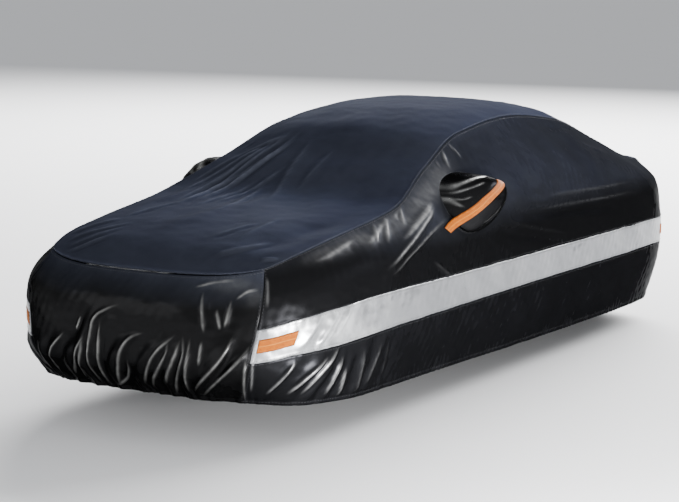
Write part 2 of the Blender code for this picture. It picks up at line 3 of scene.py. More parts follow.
import bmesh
import bpy
import numpy as np
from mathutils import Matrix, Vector


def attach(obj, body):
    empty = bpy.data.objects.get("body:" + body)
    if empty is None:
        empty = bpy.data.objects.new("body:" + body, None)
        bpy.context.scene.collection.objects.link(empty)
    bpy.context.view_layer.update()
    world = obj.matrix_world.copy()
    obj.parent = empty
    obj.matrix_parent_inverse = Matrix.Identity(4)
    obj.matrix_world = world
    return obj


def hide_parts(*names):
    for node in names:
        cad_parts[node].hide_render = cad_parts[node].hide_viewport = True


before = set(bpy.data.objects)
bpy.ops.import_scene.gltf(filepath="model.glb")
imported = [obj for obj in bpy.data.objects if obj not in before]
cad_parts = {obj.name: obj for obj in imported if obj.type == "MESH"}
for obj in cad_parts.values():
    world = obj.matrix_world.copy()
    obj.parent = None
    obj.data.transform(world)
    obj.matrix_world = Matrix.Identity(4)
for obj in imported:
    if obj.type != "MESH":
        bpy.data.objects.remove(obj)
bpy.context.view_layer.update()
print("cover solids loaded:", len(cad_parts))

# the covered body, in metres: nose to -Y, left to +X, z = 0 at the lowest hem
body = {
    "halfWidth": 0.925, "halfLength": 2.375, "bowPower": 3.0, "flankPower": 9.0, "beltBack": 0.006,
    "lowLevel": 0.255, "frontCorner": 0.76, "rearCorner": 0.74, "skin": 0.002, "cloth": 0.0012,
}
# y, then how far in and how high: top seam, shoulder, belt (height only), low level (in only), hem
sectionColumns = ("y", "seamIn", "seamZ", "shoulderIn", "shoulderZ", "beltZ", "lowIn", "hemIn", "hemZ")
bodySections = [
    (-2.38, 0.13, 0.66, 0.028, 0.56, 0.355, 0.005, 0.17, 0.07),
    (-2.25, 0.13, 0.695, 0.025, 0.57, 0.355, 0.005, 0.14, 0.065),
    (-2.05, 0.165, 0.74, 0.025, 0.59, 0.375, 0.005, 0.08, 0.055),
    (-1.6, 0.2, 0.805, 0.04, 0.655, 0.435, 0.005, 0.05, 0.04),
    (-1.1, 0.2, 0.875, 0.055, 0.735, 0.515, 0.005, 0.05, 0.037),
    (-0.6, 0.29, 1.04, 0.045, 0.785, 0.555, 0.005, 0.05, 0.03),
    (-0.15, 0.34, 1.185, 0.035, 0.805, 0.575, 0.005, 0.05, 0.022),
    (0.4, 0.34, 1.235, 0.035, 0.815, 0.585, 0.005, 0.05, 0.016),
    (1.0, 0.33, 1.175, 0.04, 0.815, 0.585, 0.005, 0.05, 0.012),
    (1.5, 0.28, 1.01, 0.05, 0.795, 0.575, 0.008, 0.055, 0.008),
    (1.9, 0.21, 0.88, 0.05, 0.755, 0.555, 0.01, 0.07, 0.004),
    (2.15, 0.15, 0.845, 0.04, 0.73, 0.515, 0.01, 0.105, 0.0008),
    (2.38, 0.14, 0.845, 0.04, 0.73, 0.515, 0.01, 0.15, 0.0008),
]
# y, height on the middle line, how square the crown is
ridgeLine = [
    (-2.22, 0.675, 4.0), (-1.95, 0.78, 4.0), (-1.5, 0.85, 3.2), (-1.05, 0.895, 2.4), (-0.65, 1.055, 2.2),
    (-0.28, 1.225, 2.2), (0.1, 1.295, 2.4), (0.5, 1.31, 2.6), (1.0, 1.255, 2.8), (1.5, 1.065, 2.4),
    (1.8, 0.935, 2.4), (2.02, 0.88, 2.4), (2.24, 0.85, 2.4),
]
# y, bottom and top of the silver band
bandColumns = {"bandLow": 1, "bandHigh": 2}
bandLine = [
    (-2.38, 0.278, 0.432), (-2.25, 0.286, 0.442), (-2.1, 0.316, 0.48), (-1.8, 0.335, 0.513),
    (-1.4, 0.352, 0.526), (-0.7, 0.358, 0.522), (0.5, 0.362, 0.518), (1.7, 0.36, 0.515), (2.1, 0.335, 0.49),
    (2.38, 0.31, 0.462),
]
# s round the belt, how far the columns lean per metre below the top seam
columnLeans = [
    (-6.0, 0.0), (-2.0, 0.0), (-1.2, -0.45), (-0.76, -0.22), (0.2, 0.5), (0.76, 0.22), (1.2, 0.45),
    (2.0, 0.0), (6.0, 0.0),
]
# big folds, as in the solids: root, tip (s, z on a wall; x, y on the top) and bow in centimetres, half width
# and rise in millimetres
foldShape = {"rootFade": 0.25, "tipFade": 0.45}
frontFolds = [
    (-64, 6, -52, 34, 1, 30, 14), (-54, 6, -36, 37, 2, 32, 16), (-43, 6, -21, 38, 3, 30, 18),
    (-29, 6, -15, 52, 3, 34, 24), (-20, 6, -13, 46, 2, 26, 14), (-13, 6, 9, 41, 4, 32, 22),
    (1, 6, 28, 43, 3, 30, 18), (11, 6, 28, 40, 2, 26, 14), (19, 6, 35, 42, 2, 28, 16),
    (29, 6, 40, 42, 0, 28, 14), (33, 6, 62, 46, -1, 34, 24), (41, 6, 70, 41, -2, 34, 22),
    (60, 6, 66, 33, 0, 26, 12),
]
flankFolds = [
    (70, 5, 94, 34, 0, 26, 12), (82, 5, 110, 33, 1, 32, 18), (94, 4, 119, 38, 0, 28, 16),
    (107, 4, 122, 34, 0, 28, 14), (118, 4, 126, 31, 0, 28, 12), (130, 3, 138, 35, 0, 34, 12),
    (138, 3, 156, 36, 0, 45, 12), (88, 31, 107, 54, 0, 24, 7), (99, 32, 119, 55, 0, 24, 8),
    (110, 33, 129, 56, 0, 28, 7), (146, 59, 240, 93, 0, 45, 18), (166, 57, 240, 82, 0, 75, -20),
    (148, 74, 196, 89, 0, 35, 10), (280, 75, 450, 64, 0, 36, -16), (295, 78.5, 470, 71, 0, 36, 10),
    (320, 82.5, 470, 76.5, 0, 40, 7), (270, 75, 375, 55, 0, 45, 11), (260, 69, 375, 50, 0, 40, -10),
]
rearFolds = [
    (-58, 0, -50, 40, 1, 50, 16), (-31, 0, -24, 46, 2, 60, 18), (5, 0, 0, 38, -1, 50, 14),
    (34, 0, 24, 50, -2, 60, 18), (60, 0, 52, 36, 0, 50, 14),
]
rightCornerFolds = [
    (-66, 50, -114, 52.2, 0, 20, -18), (-66, 55, -114, 58, 0, 24, 10),
]
topFolds = [
    (-62, -155, -28, -20, 3, 60, 12), (-44, -160, -12, -25, 3, 60, 10), (-20, -195, 5, -90, 0, 70, 10),
    (50, -205, 62, -115, 0, 90, -16), (40, 90, -30, 160, 0, 100, 10),
]

# fine creases: half width and rise in millimetres, strength of the highlight painted on the crest, and then
# the points of the line that it follows, in centimetres
creaseShape = {"startFade": 0.25, "endFade": 0.35, "troughDepth": 0.4, "troughAside": 1.9, "troughHalf": 1.3}
frontCreases = [
    (14, 8, 0.7, -53, 17, -45, 27, -37, 35), (13, 9, 0.7, -40, 12, -30, 22, -22, 36),
    (10, 7, 0.7, -36, 10, -25, 24, -23, 35),
    (14, 12, 0.7, -26, 7, -22, 20, -19, 36, -17, 45, -10, 49, -2, 52),
    (11, 8, 0.7, -20, 8, -15, 24, -14, 44), (9, 6, 0.7, -29, 37, -27, 41, -26, 44),
    (13, 11, 0.7, -12, 9, -4, 21, -1, 29, 4, 37, 13, 40), (10, 7, 0.7, -13, 9, 1, 18, 2, 26),
    (12, 10, 0.7, 5, 12, 13, 21, 20, 32, 31, 41), (11, 8, 0.7, 7, 9, 25, 28, 26, 38),
    (11, 8, 0.7, 20, 14, 29, 27, 33, 39), (11, 9, 0.7, 21, 8, 35, 28, 34, 41),
    (10, 7, 0.7, 31, 10, 37, 29, 38, 40), (10, 6, 0.7, 42, 26, 43, 33, 44, 39),
    (14, 12, 0.7, 34, 11, 53, 28, 60, 43), (14, 11, 0.7, 38, 9, 57, 24, 68, 38),
    (10, 6, 0.7, 63, 8, 64, 20, 65, 31), (8, 4, 0.7, 67, 13, 68, 22, 68, 31),
    (13, 7, 0.7, 45, 42, 44, 52, 42, 61), (10, 5, 0.7, 53, 44, 52, 49, 51, 54),
    (13, 7, 0.7, 55, 45, 57, 52, 58, 58), (16, 5, 0.7, 36, 62, 48, 65, 60, 66),
    (12, 5, 0.7, 60, 58, 66, 62, 72, 62),
]
flankCreases = [
    (11, 6, 0.5, 77, 68, 76, 60, 75, 54), (10, 8, 0.7, 75, 12, 82, 20, 90, 29),
    (12, 11, 1.0, 86, 12, 96, 21, 108, 29), (11, 10, 1.0, 94, 11, 104, 22, 115, 33),
    (10, 8, 0.9, 109, 9, 113, 18, 118, 28), (10, 6, 0.8, 119, 7, 120, 15, 121, 22),
    (14, 5, 0.25, 132, 6, 133, 18, 134, 29), (16, 6, 0.2, 139, 9, 144, 20, 150, 30),
    (16, 4, 0.1, 154, 11, 155, 20, 156, 29), (10, 4, 0.3, 92, 35, 98, 42, 104, 49),
    (10, 5, 0.3, 100, 34, 108, 42, 115, 50), (8, 4, 0.3, 105, 34, 112, 42, 118, 50),
    (10, 4, 0.3, 113, 38, 119, 45, 125, 51), (12, 8, 0.45, 156, 63, 190, 75, 232, 90),
    (14, 7, 0.35, 160, 60, 195, 71, 230, 82), (13, 7, 0.4, 153, 75, 166, 79, 191, 87),
    (10, 5, 0.35, 188, 84, 195, 87, 202, 90), (16, -7, 0.0, 302, 74, 360, 69, 422, 65),
    (15, 5, 0.12, 320, 75, 390, 73, 456, 71), (20, 5, 0.02, 281, 73, 320, 64, 358, 57),
    (16, -5, 0.0, 274, 68, 315, 60, 358, 52), (16, 4, 0.1, 330, 81, 390, 79, 454, 77),
    (16, -6, 0.0, 375, 114, 402, 112, 430, 109), (14, 4, 0.03, 410, 104, 432, 98, 450, 93),
    (14, 3, 0.1, 202, 62, 212, 56, 220, 50), (10, 7, 0.55, 264.5, 112.5, 260, 106, 256.5, 98.5),
    (9, 6, 0.5, 253.5, 107, 252, 103, 251.5, 98.5), (9, 4, 0.3, 271.6, 115, 273, 110, 273.5, 106),
    (10, 8, 0.7, 231, 90.5, 204.8, 82.6, 179, 74.2), (16, 7, 0.25, 222, 96.5, 200, 90, 176, 83),
    (11, 8, 0.45, 203, 91.5, 196, 86, 190, 80), (12, 9, 0.5, 186, 87.5, 176, 80, 168, 74),
    (10, 7, 0.4, 173, 84, 166, 79, 161, 75), (12, 6, 0.4, 150, 78.5, 130, 74.5, 110, 71.5),
]
topCreases = [
    (17, 13, 0.6, -39, -145, -42, -94, -35, -54, -31, -34),
    (14, 11, 0.55, -35, -130, -35, -90, -29, -60, -26, -36), (13, 9, 0.45, -35, -103, -31, -73, -24, -45),
    (13, 10, 0.5, -49, -130, -47, -95, -40, -62, -35, -40), (12, 8, 0.4, -43, -114, -37, -85, -31, -60),
    (13, 10, 0.45, -58, -115, -52, -85, -43, -58, -38, -44), (13, 8, 0.35, -53, -63, -42, -54, -31, -45),
    (11, 7, 0.35, -62, -95, -57, -75, -50, -58), (15, 7, 0.3, -30, -140, -27, -110, -22, -84),
    (10, 4, 0.2, -56, -55, -54, -50, -53, -46), (18, 8, 0.3, 17, -190, 22, -175, 27, -160),
    (15, 9, 0.4, -53, -216, -45, -207, -36, -196), (12, 9, 0.3, 57, -204, 61, -202, 65, -201),
    (22, 6, 0.25, -14, -46, -10, -80, 4, -119), (22, 5, 0.2, 5, -53, 4, -75, 8, -99),
    (20, 7, 0.3, -8, -149, -11, -124, -18, -87), (18, 7, 0.3, -57, -211, -47, -202, -39, -182),
    (24, 5, 0.2, 33, -191, 33, -163, 31, -143), (18, 8, 0.3, 30, -208, 42, -198, 50, -180),
    (15, 8, 0.35, -66, -198, -60, -186, -50, -170), (14, 8, 0.35, -61, -205, -50, -190, -38, -176),
    (16, 8, 0.35, -52, -170, -48, -152, -40, -130), (16, 8, 0.35, -24, -130, -20, -98, -14, -70),
    (22, 6, 0.2, -45, 105, -20, 132, 10, 150), (22, 6, 0.2, 48, 110, 22, 140, 2, 162),
]
pocket = {
    "y": -0.486, "z": 0.859, "halfLong": 0.235, "halfHigh": 0.135, "tilt": 0.27, "tipX": 0.97,
    "back": 0.105, "up": 0.028, "fullness": 2.6, "calmFrom": 1.15, "calmTo": 1.7, "spokes": 210, "rings": 54,
    "brimLift": 0.0026, "slot": "pocket_cloth", "flat": (0.64, 0.46), "area": 0.22,
}
# in shares of the pocket's half sizes; the taut cells span the hollow beside the low end of the rim
pocketStrip = {
    "turn": 0.4, "low": 0.22, "high": 0.54, "from": -1.34, "to": 0.56, "bend": 0.17, "bendFrom": -0.35,
    "cells": 95, "tautCells": 32, "tautRounds": 160, "skin": 0.0045, "edgeDrop": 0.0015,
    "width": 0.054,
}
# in hundredths and thousandths of the pocket's half sizes, but the rise in millimetres
pocketFolds = [
    (-95, 45, 55, 75, -5, 90, 6), (-95, 10, 45, 35, -5, 90, 5),
]
pocketCreases = [
    (35, 12, 1.0, -58, 82, -37, 91, -16, 92, 14, 88, 62, 66),
    (32, 10, 0.85, -66, 76, -49, 79, -30, 77, 4, 73), (30, 9, 0.7, -70, 72, -83, 52, -83, 33),
    (30, 7, 0.55, -72, 66, -72, 56, -55, 57), (45, 7, 0.2, -52, -62, -20, -50, 10, -36),
]


def smoothStep(value):
    value = np.clip(value, 0.0, 1.0)
    return value * value * (3 - 2 * value)


def hermite(xs, ys, tangents, x):
    cell = np.clip(np.searchsorted(xs, x) - 1, 0, len(xs) - 2)
    step = xs[cell + 1] - xs[cell]
    t = (x - xs[cell]) / step
    rise = (1 + 2 * t) * (1 - t) ** 2 * ys[cell] + t * t * (3 - 2 * t) * ys[cell + 1]
    return rise + (t * (1 - t) ** 2 * tangents[cell] - t * t * (1 - t) * tangents[cell + 1]) * step


def smoothThrough(xs, ys, x):
    # monotone cubic, so nothing overshoots between two rows of a table
    xs, ys = np.asarray(xs, float), np.asarray(ys, float)
    x = np.clip(np.asarray(x, float), xs[0], xs[-1])
    steps = np.diff(xs)
    slopes = np.diff(ys) / steps
    tangents = np.zeros_like(ys)
    tangents[0], tangents[-1] = slopes[0], slopes[-1]
    near, far = 2 * steps[1:] + steps[:-1], steps[1:] + 2 * steps[:-1]
    for i in range(1, len(xs) - 1):
        if slopes[i - 1] * slopes[i] > 0:
            tangents[i] = (near[i - 1] + far[i - 1]) / (near[i - 1] / slopes[i - 1] + far[i - 1] / slopes[i])
    return hermite(xs, ys, tangents, x)


def tableAt(table, column, place):
    return smoothThrough([row[0] for row in table], [row[column] for row in table], place)


def sectionAt(name, y):
    return tableAt(bodySections, sectionColumns.index(name), y)


def beltOutline(samples=20001):
    angle = np.linspace(0, np.pi, samples)
    x = body["halfWidth"] * np.abs(np.sin(angle)) ** (2 / body["bowPower"])
    run = np.sign(np.cos(angle)) * np.abs(np.cos(angle)) ** (2 / body["flankPower"])
    y = body["beltBack"] - body["halfLength"] * run
    return x, y, np.concatenate([[0], np.cumsum(np.hypot(np.diff(x), np.diff(y)))])


beltX, beltY, beltAlong = beltOutline()
halfRound = beltAlong[-1]
tailCorner = halfRound - body["rearCorner"]


def beltPlace(s):
    s = (np.asarray(s, float) + halfRound) % (2 * halfRound) - halfRound
    return np.interp(np.abs(s), beltAlong, beltX) * np.sign(s), np.interp(np.abs(s), beltAlong, beltY)


def beltOutward(s, reach=0.01):
    before, after = beltPlace(np.asarray(s) - reach), beltPlace(np.asarray(s) + reach)
    alongX, alongY = after[0] - before[0], after[1] - before[1]
    length = np.hypot(alongX, alongY)
    return alongY / length, -alongX / length


def wallLevels(s):
    x, y = beltPlace(s)
    outX, outY = beltOutward(s)
    at = {name: sectionAt(name, y) for name in sectionColumns[1:]}
    levels = ((at["hemIn"], at["hemZ"]), (at["lowIn"], body["lowLevel"] + 0 * y), (0 * y, at["beltZ"]),
              (at["shoulderIn"], at["shoulderZ"]), (at["seamIn"], at["seamZ"]))
    return np.stack([np.stack([x - outX * inset, y - outY * inset, z], -1) for inset, z in levels], 1)


def wallTable(stations=1801, samples=81, heights=161):
    # the wall as x and y on a regular grid of s and share of its height
    s = np.linspace(-halfRound, 2 * halfRound, stations)
    levels = wallLevels(s)
    table = np.empty((stations, heights, 2))
    for row, points in enumerate(levels):
        steps = np.linalg.norm(np.diff(points, axis=0), axis=1)
        along = np.concatenate([[0], np.cumsum(steps)])
        slopes = np.diff(points, axis=0) / steps[:, None]
        blend = (steps[:-1] / (steps[:-1] + steps[1:]))[:, None]
        inner = slopes[:-1] * (1 - blend) + slopes[1:] * blend
        tangents = np.concatenate([slopes[:1], inner, slopes[-1:]])
        place = np.linspace(0, 1, samples) * along[-1]
        x, y, z = [hermite(along, points[:, axis], tangents[:, axis], place) for axis in range(3)]
        height = np.linspace(points[0, 2], points[-1, 2], heights)
        table[row] = np.stack([np.interp(height, z, x), np.interp(height, z, y)], -1)
    return s, table, levels[:, 0, 2], levels[:, -1, 2]


tableS, tableXY, tableLow, tableHigh = wallTable()


def wallPlace(s, z):
    # the wall without folds; s and z are arrays of one shape
    place = (s - tableS[0]) / (tableS[1] - tableS[0])
    first = np.clip(np.floor(place).astype(int), 0, len(tableS) - 2)
    found = np.zeros(s.shape + (2,))
    for row, weight in ((first, 1 - (place - first)), (first + 1, place - first)):
        t = np.clip((z - tableLow[row]) / (tableHigh[row] - tableLow[row]), 0, 1) * (tableXY.shape[1] - 1)
        cell = np.clip(np.floor(t).astype(int), 0, tableXY.shape[1] - 2)
        g = (t - cell)[..., None]
        found += weight[..., None] * ((1 - g) * tableXY[row, cell] + g * tableXY[row, cell + 1])
    return np.concatenate([found, z[..., None]], -1)


def foldRelief(a, b, folds, closedRoot):
    relief = np.zeros_like(a)
    for fold in folds:
        rootA, rootB, tipA, tipB, bow = [value / 100 for value in fold[:5]]
        width, rise = [value / 1000 for value in fold[5:]]
        runA, runB = tipA - rootA, tipB - rootB
        length = math.hypot(runA, runB)
        along = ((a - rootA) * runA + (b - rootB) * runB) / length ** 2
        aside = ((b - rootB) * runA - (a - rootA) * runB) / length - bow * 4 * along * (1 - along)
        strength = smoothStep((1 - along) / foldShape["tipFade"])
        if closedRoot:
            strength = strength * smoothStep(along / foldShape["rootFade"])
        relief += rise * strength * np.exp(-(aside / width) ** 2)
    return relief


def rounded(path, rounds=3):
    # cuts the corners of a short line, so a crease bends softly
    for _ in range(rounds):
        near, far = path[:-1] * 0.75 + path[1:] * 0.25, path[:-1] * 0.25 + path[1:] * 0.75
        path = np.concatenate([path[:1], np.stack([near, far], 1).reshape(-1, 2), path[-1:]])
    return path


def creaseRelief(a, b, creases, crestHalfWidth=0.0042):
    # a narrow ridge with a shallow trough on one side, fading out at both ends
    relief, shine = np.zeros_like(a), np.zeros_like(a)
    for width, rise, gloss, *path in creases:
        path, width, rise = rounded(np.reshape(path, (-1, 2)) / 100), width / 1000, rise / 1000
        low, high = path.min(0) - 5 * width, path.max(0) + 5 * width
        inside = (a > low[0]) & (a < high[0]) & (b > low[1]) & (b < high[1])
        pa, pb = a[inside], b[inside]
        gap, aside, share = np.full(pa.shape, np.inf), np.zeros(pa.shape), np.zeros(pa.shape)
        runs = np.diff(path, axis=0)
        lengths = np.hypot(runs[:, 0], runs[:, 1])
        walked = 0.0
        for start, run, length in zip(path, runs, lengths):
            t = np.clip(((pa - start[0]) * run[0] + (pb - start[1]) * run[1]) / length ** 2, 0, 1)
            offA, offB = pa - start[0] - t * run[0], pb - start[1] - t * run[1]
            here = np.hypot(offA, offB)
            near = here < gap
            gap = np.where(near, here, gap)
            aside = np.where(near, here * np.where(offA * run[1] - offB * run[0] > 0, 1, -1), aside)
            share = np.where(near, (walked + t * length) / lengths.sum(), share)
            walked += length
        fade = smoothStep(share / creaseShape["startFade"]) * smoothStep((1 - share) / creaseShape["endFade"])
        trough = (aside - creaseShape["troughAside"] * width) / (creaseShape["troughHalf"] * width)
        ridge = np.exp(-(gap / width) ** 2) - creaseShape["troughDepth"] * np.exp(-trough ** 2)
        relief[inside] += rise * fade * ridge
        # shine: a highlight painted along the crest, mixed later into the base colour
        shine[inside] += gloss * fade * np.exp(-(gap / crestHalfWidth) ** 2)
    return relief, shine


def softNoise(a, b, length, seed, waves=9):
    # an even mix of seeded waves, about -1 to 1
    draw = np.random.default_rng(seed)
    total = np.zeros(np.broadcast(a, b).shape)
    for _ in range(waves):
        turn, phase, stretch = draw.uniform(0, np.pi), draw.uniform(0, 2 * np.pi), draw.uniform(0.7, 1.5)
        run = 2 * np.pi / (length * stretch)
        total += np.sin((a * math.cos(turn) + b * math.sin(turn)) * run + phase)
    return total / math.sqrt(waves)


def edgeHeight(name, s):
    # height of a panel's edge: the hem, the top seam, or an edge of the band
    y = beltPlace(s)[1]
    return tableAt(bandLine, bandColumns[name], y) if name in bandColumns else sectionAt(name, y)


def pocketCalm(s, z):
    # 0 on and close round the pocket, where the flank is drawn smooth, and 1 away from it
    pocketS = np.interp(pocket["y"], beltY, beltAlong)
    aside, above = np.abs(s) - pocketS, z - pocket["z"]
    away = np.hypot(aside / pocket["halfLong"], above / pocket["halfHigh"])
    return smoothStep((away - pocket["calmFrom"]) / (pocket["calmTo"] - pocket["calmFrom"]))


# broad painted sheens: s, z (or how far under the top seam), half width, half height, strength
shoulderSheen = {"from": 0.95, "to": 2.72, "fade": 0.3, "under": (0.03, 0.072), "half": (0.018, 0.052),
                 "gloss": 0.2}
bandSheen = {"middle": 1.1, "half": 0.42, "gloss": 0.62}
cornerSheens = [
    (0.58, 0.64, 0.11, 0.026, 0.14), (0.69, 0.59, 0.04, 0.035, 0.12), (-0.62, 0.48, 0.16, 0.14, 0.06),
]


def sheenAt(s, z, seamZ):
    # painted highlights: a broad sheen along the shoulder under the top seam, and patches on the corners
    start, end, fade = [shoulderSheen[key] for key in ("from", "to", "fade")]
    side = np.abs(s)
    along = smoothStep((side - start) / fade) * smoothStep((end - side) / fade)
    reach = np.clip((side - start) / (end - start), 0, 1)
    ranges = (shoulderSheen["under"], shoulderSheen["half"])
    under, half = [low + (high - low) * reach for low, high in ranges]
    sheen = shoulderSheen["gloss"] * along * np.exp(-((seamZ - z - under) / half) ** 2)
    for middleS, middleZ, halfS, halfZ, gloss in cornerSheens:
        sheen = sheen + gloss * np.exp(-((s - middleS) / halfS) ** 2 - ((z - middleZ) / halfZ) ** 2)
    return sheen * (0.8 + 0.25 * softNoise(s, z, 0.16, 71))


hemGather = {"rise": 0.0036, "reach": 0.055, "pitch": 0.042, "wander": 0.034,
             "channel": 0.024, "channelHalf": 0.005, "channelDepth": 0.0022}
# each flank: strength of its creases and of the highlight painted on them, half width of that
# painted highlight, share of the full grid
flankLook = {1: {"crease": 1.0, "shine": 1.0, "crest": 0.006, "detail": 1.0},
             -1: {"crease": 0.8, "shine": 0.7, "crest": 0.01, "detail": 0.62}}
seamShape = {"welt": 0.0011, "weltAside": 0.008, "weltHalf": 0.005, "sink": 0.0006, "sinkHalf": 0.003,
             "pucker": 0.0007, "puckerReach": 0.03, "puckerPitch": 0.045}


def wallRelief(s, z, side):
    # big folds as in the solids, then fine creases, gathers at the hem and an uneven surface
    look, clear = flankLook[side], pocketCalm(s, z)
    seamZ = edgeHeight("seamZ", s)
    under, above = seamZ - z, z - edgeHeight("hemZ", s)
    relief = foldRelief(s, z, frontFolds, False) + foldRelief(s - halfRound, z, rearFolds, False)
    relief += foldRelief(np.abs(s), z, flankFolds, True) + foldRelief(s, z, rightCornerFolds, True)
    relief *= clear * smoothStep(under / 0.1)
    frontFine, frontShine = creaseRelief(s, z, frontCreases)
    flankFine, flankShine = creaseRelief(np.abs(s), z, flankCreases, look["crest"])
    calm = clear * smoothStep(under / 0.04)
    relief += (frontFine + flankFine * look["crease"]) * calm
    # shine: highlights painted along the crease crests plus the painted sheens, kept for the base colour
    shine = (frontShine + flankShine * look["shine"]) * calm + sheenAt(s, z, seamZ)
    wander = s + hemGather["wander"] * softNoise(s, z * 0.2, 0.24, 5)
    ripple = np.sin(2 * np.pi * wander / hemGather["pitch"]) * (0.45 + 0.55 * softNoise(s, z * 0, 0.22, 6))
    relief += hemGather["rise"] * np.exp(-(above / hemGather["reach"]) ** 2) * ripple
    fromChannel = (above - hemGather["channel"]) / hemGather["channelHalf"]
    relief -= hemGather["channelDepth"] * np.exp(-fromChannel ** 2)
    uneven = 0.0018 * softNoise(s, z * 1.3, 0.26, 11 + side) + 0.0007 * softNoise(s, z, 0.07, 21 + side)
    return relief + smoothStep(under / 0.05) * clear * uneven, shine


def seamRelief(gap):
    # a felled seam: a low welt beside the joint, and the joint a little sunk
    welt = seamShape["welt"] * np.exp(-((gap - seamShape["weltAside"]) / seamShape["weltHalf"]) ** 2)
    return welt - seamShape["sink"] * np.exp(-(gap / seamShape["sinkHalf"]) ** 2)


def seamPucker(s, gap, seed):
    depth = seamShape["pucker"] * np.exp(-gap / seamShape["puckerReach"])
    return depth * softNoise(s, gap * 0, seamShape["puckerPitch"], seed)


edgeSteps = [0.0, 0.003, 0.006, 0.01, 0.016]
sideNames = {1: ("Left", "_left"), -1: ("Right", "_right")}


def edgedShares(length, count):
    # shares along a panel's side, with narrow cells beside both seams
    low = np.array(edgeSteps) / length
    return np.concatenate([low, np.linspace(low[-1], 1 - low[-1], count + 1)[1:-1], (1 - low)[::-1]])


def leanedPlaces(topS, low, high, shares):
    # s and z of columns that meet the top seam at topS, their heights shared out between two edges
    def between(s):
        lowZ = edgeHeight(low, s)
        return lowZ + (edgeHeight(high, s) - lowZ) * shares

    s = topS[:, None]
    leaning = s - tableAt(columnLeans, 1, s) * (edgeHeight("seamZ", s) - between(s))
    return leaning, between(leaning)


def wallGrid(topS, low, high, shares, side):
    s, z = leanedPlaces(topS, low, high, shares)
    relief, shine = wallRelief(s, z, side)
    for edge, seed in ((low, 31), (high, 32)):
        if edge != "hemZ":
            gap = np.abs(z - edgeHeight(edge, s))
            relief += seamRelief(gap) + seamPucker(s, gap, seed + side) * pocketCalm(s, z)
    return s, z, relief, shine


def lifted(points, lift):
    normals = np.cross(np.gradient(points, axis=0), np.gradient(points, axis=1))
    normals /= np.linalg.norm(normals, axis=-1, keepdims=True)
    return points + normals * lift, normals


def wallSurface(s, z, relief, lift):
    # the wall with its relief, raised off the solids
    places = wallPlace(s, z)
    outX, outY = beltOutward(s)
    places[..., 0] += outX * relief
    places[..., 1] += outY * relief
    return lifted(places, lift)


class Flow:
    # a socket that takes part in sums; each sum adds a Math node
    def __init__(self, tree, socket):
        self.tree, self.socket = tree, socket

    def maths(self, operation, first, second=0.0):
        return addNode(self.tree, "ShaderNodeMath", {"operation": operation}, {0: first, 1: second})

    def __add__(self, other):
        return self.maths("ADD", self, other)

    def __sub__(self, other):
        return self.maths("SUBTRACT", self, other)

    def __rsub__(self, other):
        return self.maths("SUBTRACT", other, self)

    def __mul__(self, other):
        return self.maths("MULTIPLY", self, other)

    __radd__ = __add__
    __rmul__ = __mul__

    def wave(self):
        return self.maths("SINE", self)

    def absolute(self):
        return self.maths("ABSOLUTE", self)

    def clipped(self):
        return addNode(self.tree, "ShaderNodeClamp", {}, {0: self})


def fillSockets(tree, node, inputs):
    for key, value in inputs.items():
        if isinstance(value, Flow):
            tree.links.new(value.socket, node.inputs[key])
        else:
            node.inputs[key].default_value = value


def addNode(tree, kind, settings, inputs, output=0):
    node = tree.nodes.new(kind)
    for name, value in settings.items():
        setattr(node, name, value)
    fillSockets(tree, node, inputs)
    return Flow(tree, node.outputs[output])


def mixColour(tree, factor, first, second):
    # sockets 6 and 7 of a Mix node are its colours, and output 2 is the mixed one
    first, second = [colour if isinstance(colour, Flow) else (*colour, 1.0) for colour in (first, second)]
    return addNode(tree, "ShaderNodeMix", {"data_type": "RGBA"}, {0: factor, 6: first, 7: second}, 2)


def newMaterial(name):
    material = bpy.data.materials.new(name)
    material.use_nodes = True
    tree = material.node_tree
    return material, tree, tree.nodes["Principled BSDF"], addNode(tree, "ShaderNodeTexCoord", {}, {}, 3)


def noiseAt(tree, spot, scale, detail, rough=0.5, distortion=0.0):
    return addNode(tree, "ShaderNodeTexNoise", {}, {
        "Vector": spot, "Scale": scale, "Detail": detail, "Roughness": rough, "Distortion": distortion})


def bumpNode(tree, strength, distance, height):
    return addNode(tree, "ShaderNodeBump", {}, {"Strength": strength, "Distance": distance, "Height": height})


def clothPlace(tree):
    # the two ways of the piece's own UV map
    metres = addNode(tree, "ShaderNodeUVMap", {"uv_map": "clothMetres"}, {})
    along = addNode(tree, "ShaderNodeSeparateXYZ", {}, {0: metres})
    return along, Flow(tree, along.socket.node.outputs[1])
